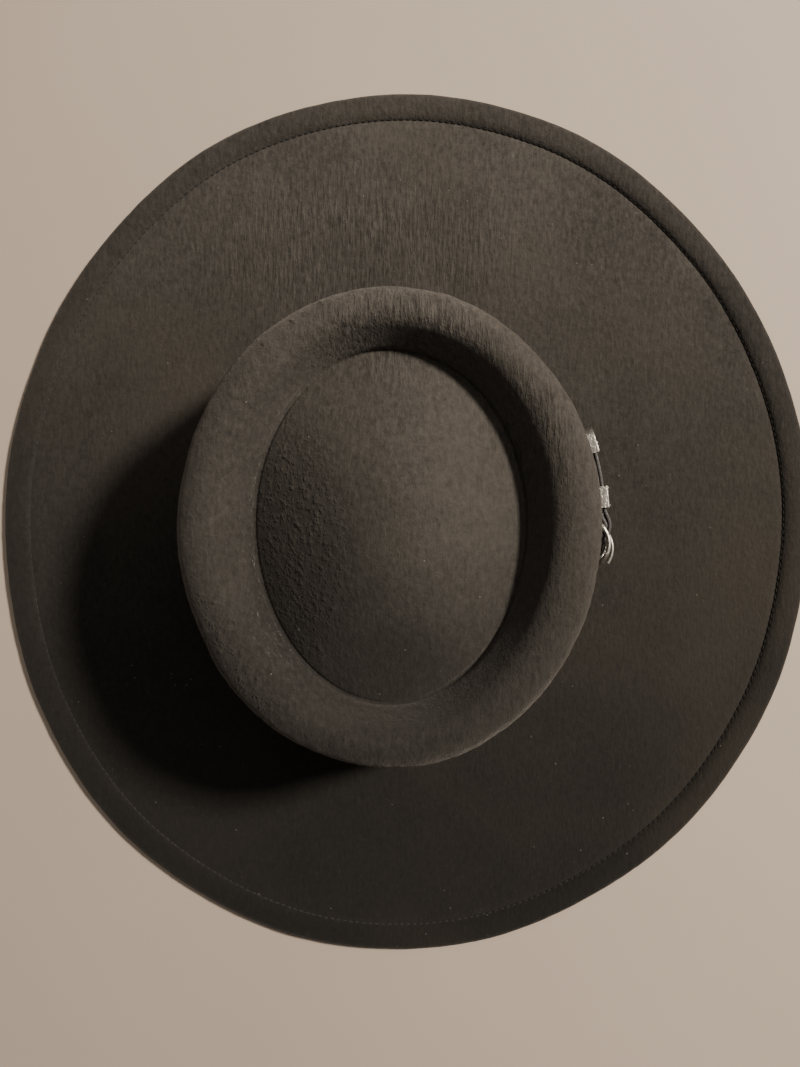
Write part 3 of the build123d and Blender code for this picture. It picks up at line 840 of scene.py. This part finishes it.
class HAT_OT_inside(bpy.types.Operator):
    """Make the sweatband, its tape and reed, the bow and the label"""

    bl_idname = "hat.inside"
    bl_label = "Sweatband"

    def execute(self, context):
        low, high = (corner.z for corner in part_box("sweatband"))
        rise = high - low
        band = [(1.8 * MM, low + 0.5 * MM + (rise - 1.0 * MM) * step / 8) for step in range(9)]
        band += [(1.66 * MM, high - 0.15 * MM), (1.3 * MM, high), (0.96 * MM, high - 0.15 * MM)]
        band += [(0.85 * MM, high - 0.5 * MM - (rise - 1.0 * MM) * step / 3) for step in range(4)]
        band += [(0.96 * MM, low + 0.15 * MM), (1.3 * MM, low), (1.66 * MM, low + 0.15 * MM)]
        leather = hoop("sweatband_leather_hoop", band, 288, 1.2 * MM)
        tan = leather_finish("sweatband_leather", (0.05, 0.034, 0.025), (0.09, 0.063, 0.045), 2200.0, 0.5)
        keep(leather, tan, "hat", "sweat_leather", "sweatband")
        low, high = (corner.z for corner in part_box("reed_tape"))
        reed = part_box("sweatband_reed")
        middle = (reed[0].z + reed[1].z) / 2
        tape = [(0.3 * MM, middle + 1.3 * MM), (0.3 * MM, high)]
        tape += [(0.7 * MM, high), (0.72 * MM, middle + 1.5 * MM)]
        for angle in range(-25, 300, 45):
            turn = radians(angle)
            tape.append((1.3 * MM + 1.25 * MM * sin(turn), middle + 1.25 * MM * cos(turn)))
        weave = hoop("reed_tape_hoop", tape, 256, 0.0)
        tape_weave = woven_finish("reed_tape_weave", (0.02, 0.019, 0.018), (0.05, 0.046, 0.042))
        keep(weave, tape_weave, "hat", "tape", "reed_tape")
        self.label()
        self.bow()
        dress("sweatband_reed", plain_finish("reed_plastic", (0.6, 0.58, 0.52), (0.75, 0.73, 0.68)))
        dress("edge_wire", plain_finish("spring_wire", (0.35, 0.34, 0.33), (0.5, 0.49, 0.47), 1.0, 0.3))
        dress("wire_joiner", plain_finish("joiner_brass", (0.45, 0.32, 0.14), (0.6, 0.45, 0.22), 1.0, 0.3))
        self.stitches(bpy.data.materials["sewing_thread"])
        return {"FINISHED"}

    def label(self):
        """A blank woven label behind the sweatband's face."""
        low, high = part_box("size_label")

        def shape(across, up):
            z = low.z + (high.z - low.z) * up
            turn = radians(LABEL_TURN) + (across - 0.5) * LABEL_WIDTH / WALL_RADIUS
            lift = 0.25 * MM * sin(pi * across) * sin(pi * up)
            return inner_wall(turn, 2.05 * MM + lift, z)

        label = cloth_patch("woven_label", 24, 12, shape, 0.3 * MM)
        weave = woven_finish("label_weave", (0.22, 0.205, 0.18), (0.38, 0.36, 0.32), 668.8)
        keep(label, weave, "hat", "label", "size_label")

    def bow(self):
        """Two ribbon loops, two tails and a knot."""
        low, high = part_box("sweatband_bow")
        middle = (low.z + high.z) / 2
        ribbon = woven_finish("bow_ribbon", (0.014, 0.013, 0.013), (0.04, 0.037, 0.035), 509.6)
        parts = []
        for side in (-1, 1):
            def loop(along, across, side=side):
                reach = side * (1.2 + 10.0 * sin(pi * along)) * MM
                width = 6.4 * MM * (0.4 + 0.6 * sin(pi * along))
                inset = (2.1 + 1.1 * along) * MM
                return inner_wall(pi / 2 - reach / WALL_RADIUS, inset, middle + (across - 0.5) * width)

            def tail(along, across, side=side):
                reach = side * (0.8 + 6.5 * along) * MM
                z = middle + (across - 0.5) * 3.6 * MM - 3.8 * MM * along
                return inner_wall(pi / 2 - reach / WALL_RADIUS, 2.1 * MM, z)

            parts.append(cloth_patch("bow_loop", 20, 6, loop, 0.25 * MM))
            parts.append(cloth_patch("bow_tail", 8, 4, tail, 0.25 * MM))
        start_fresh()
        bpy.ops.mesh.primitive_uv_sphere_add(segments=20, ring_count=12, radius=1.0)
        knot = bpy.context.active_object
        spot = inner_wall(pi / 2, 2.9 * MM, middle)
        for vertex in knot.data.vertices:
            x, y, z = vertex.co
            vertex.co = spot + Vector((1.9 * MM * x, 1.0 * MM * y, 2.6 * MM * z))
        bpy.ops.object.shade_smooth()
        keep(joined("ribbon_bow", [knot, *parts]), ribbon, "hat", "tape", "sweatband_bow")

    def stitches(self, thread):
        """A row of stitches round the sweatband's foot, and the crossed ones over its seam."""
        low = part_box("sweatband_stitching")[0].z
        sewing = settings("hat_sewing")
        wide, long = wall_half(low)
        inset = settings("hat_felt").thickness + 1.95 * MM
        places = []
        for place, heading in oval_steps(wide - inset, long - inset, 3.2 * MM):
            place.z = low
            places.append((place, heading, -pi / 2 - 0.2))
        row = sew("sweatband_stitches", thread_stitch(sewing.length, 0.25 * MM), places)
        keep(row, thread, "hat", "thread", "sweatband_stitching")
        dress("sweatband_seam_stitches", thread)


# ---- the strap and its buckle ----
STRAP_THICK = 1.6 * MM
# how far the middle of the leather, or of the bar, stands out from the felt
STRAP_FLAT = 1.15 * MM  # round the hat, where it lies on the felt
STRAP_LOWER = 3.1 * MM  # the fold's outer leaf, over the inner one
STRAP_UPPER = 4.8 * MM  # the free end, over the fold's two leaves
BAR_OUT = 3.5 * MM
FOLD_REACH = 1.76 * MM  # from the bar's middle to the middle of the leather folded round it
OVER_BAR = BAR_OUT + FOLD_REACH + 1.7 * MM
STRAP_HALF_LENGTH = 103.5 * MM  # half the strap's loop from front to back, for the places of the holes
PRONG_HOLE = -2.6  # millimetres along the wall from the bar, as are the holes' steps
HOLE_STEP = 10.0


def ease(value, start, end):
    """0 before start, 1 after end, and a smooth rise between."""
    share = min(1.0, max(0.0, (value - start) / (end - start)))
    return share * share * (3 - 2 * share)


def strap_stations():
    """The strap's centre line: millimetres along the wall from the bar, or an angle, and a distance out.

    It starts at the end of the fold, goes round the bar, round the hat and back up over the bar.
    """
    line = [("y", y, BAR_OUT - FOLD_REACH + (STRAP_FLAT - BAR_OUT + FOLD_REACH) * ease(y, 0, 4.9))
            for y in (7.0, 5.4, 3.9, 2.4, 1.0)]
    for step in range(13):
        angle = radians(-90 - 15 * step)
        line.append(("y", FOLD_REACH / MM * cos(angle), BAR_OUT + FOLD_REACH * sin(angle)))
    for y in (1.0, 2.4, 3.8, 5.4, 7.5, 11, 16, 21, 26.5, 28.5, 30.5, 32.5, 34.5, 36.5, 40):
        folded = BAR_OUT + FOLD_REACH + (STRAP_LOWER - BAR_OUT - FOLD_REACH) * ease(y, 0, 5.5)
        out = folded if y < 7 else STRAP_LOWER + (STRAP_FLAT - STRAP_LOWER) * ease(y, 26.5, 36.5)
        line.append(("y", y, out))
    line += [("turn", 0.46 + (2 * pi - 0.7) * step / 90, STRAP_FLAT) for step in range(91)]
    for y in (-20, -17, -15, -13.5, -12, -10, -8, -6, -4, -2, -0.5,
              1, 2.4, 3.8, 5.4, 7, 9, 12, 17, 22, 27, 32, 37):
        rising = STRAP_FLAT + (OVER_BAR - STRAP_FLAT) * ease(y, -14.4, -0.4)
        out = rising if y < 0 else OVER_BAR + (STRAP_UPPER - OVER_BAR) * ease(y, 0.6, 8)
        line.append(("y", y, out))
    return line


def wall_spot(turn, out, z):
    """A point a distance out from the felt's wall."""
    wide, long = wall_half(z)
    across = Vector((long * cos(turn), wide * sin(turn), 0)).normalized()
    lean_angle = atan(lean()[0])
    return Vector((wide * cos(turn), long * sin(turn), z)) + across * out / cos(lean_angle)


def buckle_frame_axes():
    """The bar's centre, and the directions out of the wall, along it and up it."""
    joints = {joint["name"]: joint for joint in frame["record"]["behaviour"]["joints"]}
    hinge = joints["buckle_swing"]
    up = Vector(hinge["axis"]).normalized()
    along = Vector((0, 1, 0))
    return Vector(hinge["pos_m"]), along.cross(up), along, up


def swept(name, path, half_wide, half_tall, corner, up_axis):
    """A bar of rounded rectangular section along a path."""
    start_fresh()
    bpy.ops.curve.primitive_bezier_circle_add(radius=1.0)
    section = bpy.context.active_object
    section.data.dimensions = "2D"
    section.data.splines.clear()
    outline = section.data.splines.new("POLY")
    points = []
    for quarter in range(4):
        for step in range(4):
            angle = radians(90 * quarter + 30 * step)
            corner_x = (half_wide - corner) * (1 if quarter in (0, 3) else -1)
            corner_y = (half_tall - corner) * (1 if quarter in (0, 1) else -1)
            points.append((corner_x + corner * cos(angle), corner_y + corner * sin(angle)))
    outline.points.add(len(points) - 1)
    for point, place in zip(outline.points, points):
        point.co = (*place, 0, 1)
    outline.use_cyclic_u = True
    curve = bpy.data.curves.new(name, "CURVE")
    curve.dimensions = "3D"
    curve.twist_mode = "Z_UP" if up_axis else "MINIMUM"
    spline = curve.splines.new("POLY")
    spline.points.add(len(path) - 1)
    for point, place in zip(spline.points, path):
        point.co = (*place, 1)
    curve.bevel_mode = "OBJECT"
    curve.bevel_object = section
    curve.use_fill_caps = True
    bar = bpy.data.objects.new(name, curve)
    bpy.context.scene.collection.objects.link(bar)
    pick(bar)
    bpy.ops.object.convert(target="MESH")
    bar = bpy.context.active_object
    bpy.data.objects.remove(section)
    bpy.ops.object.mode_set(mode="EDIT")
    close_up()
    bpy.ops.object.shade_smooth_by_angle(angle=radians(35))
    return bar


class HAT_OT_band(bpy.types.Operator):
    """Cut the leather strap, and make its silver buckle, keeper and tip"""

    bl_idname = "hat.band"
    bl_label = "Band and buckle"

    def execute(self, context):
        colours = settings("hat_colours")
        strap_leather = leather_finish("strap_leather", colours.leather, (0.06, 0.05, 0.042))
        keep(self.strap(), strap_leather, "band", "leather", "hat_band")
        engraved = silver_finish("engraved_silver", True)
        plain = silver_finish("plain_silver", False)
        keep(self.buckle(), engraved, "buckle", "silver", "buckle_frame")
        for node in ("keeper_loop", "strap_tip"):
            dress(node, engraved)
        for node in ("buckle_bar", "buckle_prong", "fold_rivets", "tip_pins"):
            dress(node, plain)
        return {"FINISHED"}

    def strap(self):
        """The strap, swept along its stations, with its faces leant in line with the wall."""
        low, high = (corner.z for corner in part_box("hat_band"))
        middle = (low + high) / 2
        long = wall_half(middle)[1]
        path, lap = [], 0.0
        for kind, value, out in strap_stations():
            lap = 2 * pi if kind == "turn" else lap
            turn = value if kind == "turn" else asin(value * MM / long) + lap
            path.append(wall_spot(turn, out, middle))
        strap = swept("leather_strap", path, STRAP_THICK / 2, (high - low) / 2, 0.45 * MM, True)
        wide_lean, long_lean = lean()
        wide, long = wall_half(middle)
        for vertex in strap.data.vertices:
            x, y, z = vertex.co
            turn = atan2(y / long, x / wide)
            rise = z - middle
            vertex.co = (x - wide_lean * cos(turn) * rise, y - long_lean * sin(turn) * rise, z)
        self.punch(strap)
        return strap

    def punch(self, strap):
        """Punch the prong's holes and its slot."""
        place, out, along, _ = buckle_frame_axes()
        start_fresh()
        cutters = []
        for number in (-3, -2, 1, 2):
            spot = asin((PRONG_HOLE + HOLE_STEP * number) * MM / STRAP_HALF_LENGTH)
            centre = wall_spot(spot, 3.5 * MM, place.z)
            outward = wall_spot(spot, 9 * MM, place.z) - centre
            bpy.ops.mesh.primitive_cylinder_add(vertices=24, radius=1.3 * MM, depth=14 * MM, location=centre,
                                                rotation=outward.to_track_quat("Z", "Y").to_euler())
            cutters.append(bpy.context.active_object)
        bpy.ops.mesh.primitive_cube_add(
            size=1.0, location=place + out * 2.2 * MM - along * 2.9 * MM,
            rotation=(0, -atan(lean()[0]), 0), scale=(9 * MM, 7.6 * MM, 2.4 * MM))
        tool = joined("punch_tool", [bpy.context.active_object, *cutters])
        pick(strap)
        cut = strap.modifiers.new("holes", "BOOLEAN")
        cut.object = tool
        cut.solver = "EXACT"
        bpy.ops.object.modifier_apply(modifier="holes")
        bpy.data.objects.remove(tool)

    def buckle(self):
        """A rounded, arched frame, open at the bar."""
        place, out, along, up = buckle_frame_axes()
        tall, nose, corner, end = 9.1, -16.2, 4.2, 0.9
        plan = [(end - step, -tall) for step in (0, 1.0, 2, 4, 6, 8, 10, 11.5)]
        for degrees in range(0, 91, 10):
            turn = radians(degrees)
            plan.append((nose + corner * (1 - sin(turn)), -tall + corner * (1 - cos(turn))))
        plan += [(nose, z) for z in (-3.0, -1.0, 1.0, 3.0)]
        mirrored = [(y, -z) for y, z in reversed(plan[:-4])]
        arch, arch_middle, arch_top = 11.2, -7.7, 3.2
        path = []
        for y, z in plan + mirrored:
            x = arch_top - arch + sqrt(arch**2 - (y - arch_middle) ** 2)
            path.append((x * MM, y * MM, z * MM))
        buckle = swept("arched_buckle", path, 1.0 * MM, 1.0 * MM, 0.98 * MM, False)
        for vertex in buckle.data.vertices:
            x, y, z = vertex.co
            vertex.co = place + out * (x - 0.3 * MM) + along * y + up * z
        return buckle


class HAT_OT_stage(bpy.types.Operator):
    """Lay a pale floor, hang one soft light to the right and set the camera above the hat"""

    bl_idname = "hat.stage"
    bl_label = "Stage"

    def execute(self, context):
        start_fresh()
        bpy.ops.mesh.primitive_plane_add(size=8.0, location=(0, 0, 0))
        floor = bpy.context.active_object
        floor.name = "floor"
        pale = Finish("pale_floor", Roughness=0.9)
        colour = pale.blend(pale.noise(9.0, 3.0), (0.50, 0.41, 0.325), (0.54, 0.445, 0.355))
        floor.data.materials.append(pale.surface(colour))
        self.light("key", 27.0, 48.0, 1.6, 0.2, 37.0, (1.0, 0.92, 0.83))
        self.light("sky", 75.0, 62.0, 2.0, 1.6, 6.5, (1.0, 0.93, 0.86))
        world = bpy.data.worlds.new("studio")
        world.use_nodes = True
        background = world.node_tree.nodes["Background"]
        background.inputs["Color"].default_value = (1.0, 0.95, 0.9, 1.0)
        background.inputs["Strength"].default_value = 0.10
        context.scene.world = world
        bpy.ops.object.camera_add(location=(0.0164, 0.0040, 0.3779),
                                  rotation=(radians(-1.19), radians(2.40), 0.0))
        camera = bpy.context.active_object
        camera.data.sensor_width = 36.0
        camera.data.lens = 27.03
        camera.data.clip_start = 0.01
        context.scene.camera = camera
        return {"FINISHED"}

    def light(self, name, azimuth, elevation, distance, size, power, colour):
        """A round soft light that faces the hat."""
        turn, rise = radians(azimuth), radians(elevation)
        away = Vector((cos(turn) * cos(rise), sin(turn) * cos(rise), sin(rise)))
        bpy.ops.object.light_add(type="AREA", location=away * distance)
        lamp = bpy.context.active_object
        lamp.name = name
        lamp.rotation_euler = away.to_track_quat("Z", "Y").to_euler()
        lamp.data.shape = "DISK"
        lamp.data.size = size
        lamp.data.energy = power
        lamp.data.color = colour


class HAT_PT_panel(bpy.types.Panel):
    """The hat's operators, in the order in which they run"""

    bl_label = "Felt hat"
    bl_idname = "HAT_PT_panel"
    bl_space_type = "VIEW_3D"
    bl_region_type = "UI"
    bl_category = "Hat"

    def draw(self, context):
        for operator in STEPS:
            self.layout.operator(operator.bl_idname)


STEPS = (HAT_OT_stage, HAT_OT_felt, HAT_OT_nap, HAT_OT_pulled_strand, HAT_OT_edge_stitches,
         HAT_OT_inside, HAT_OT_band)
GROUPS = {"hat_felt": FeltSizes, "hat_sewing": SewingSizes, "hat_colours": Colours}


def register():
    for group in GROUPS.values():
        bpy.utils.register_class(group)
    for name, group in GROUPS.items():
        setattr(bpy.types.Scene, name, bpy.props.PointerProperty(type=group))
    for operator in STEPS:
        bpy.utils.register_class(operator)
    bpy.utils.register_class(HAT_PT_panel)


def unregister():
    bpy.utils.unregister_class(HAT_PT_panel)
    for operator in reversed(STEPS):
        bpy.utils.unregister_class(operator)
    for name, group in GROUPS.items():
        delattr(bpy.types.Scene, name)
        bpy.utils.unregister_class(group)


def main():
    register()
    for operator in STEPS:
        family, name = operator.bl_idname.split(".")
        getattr(getattr(bpy.ops, family), name)()


if __name__ == "__main__":
    main()
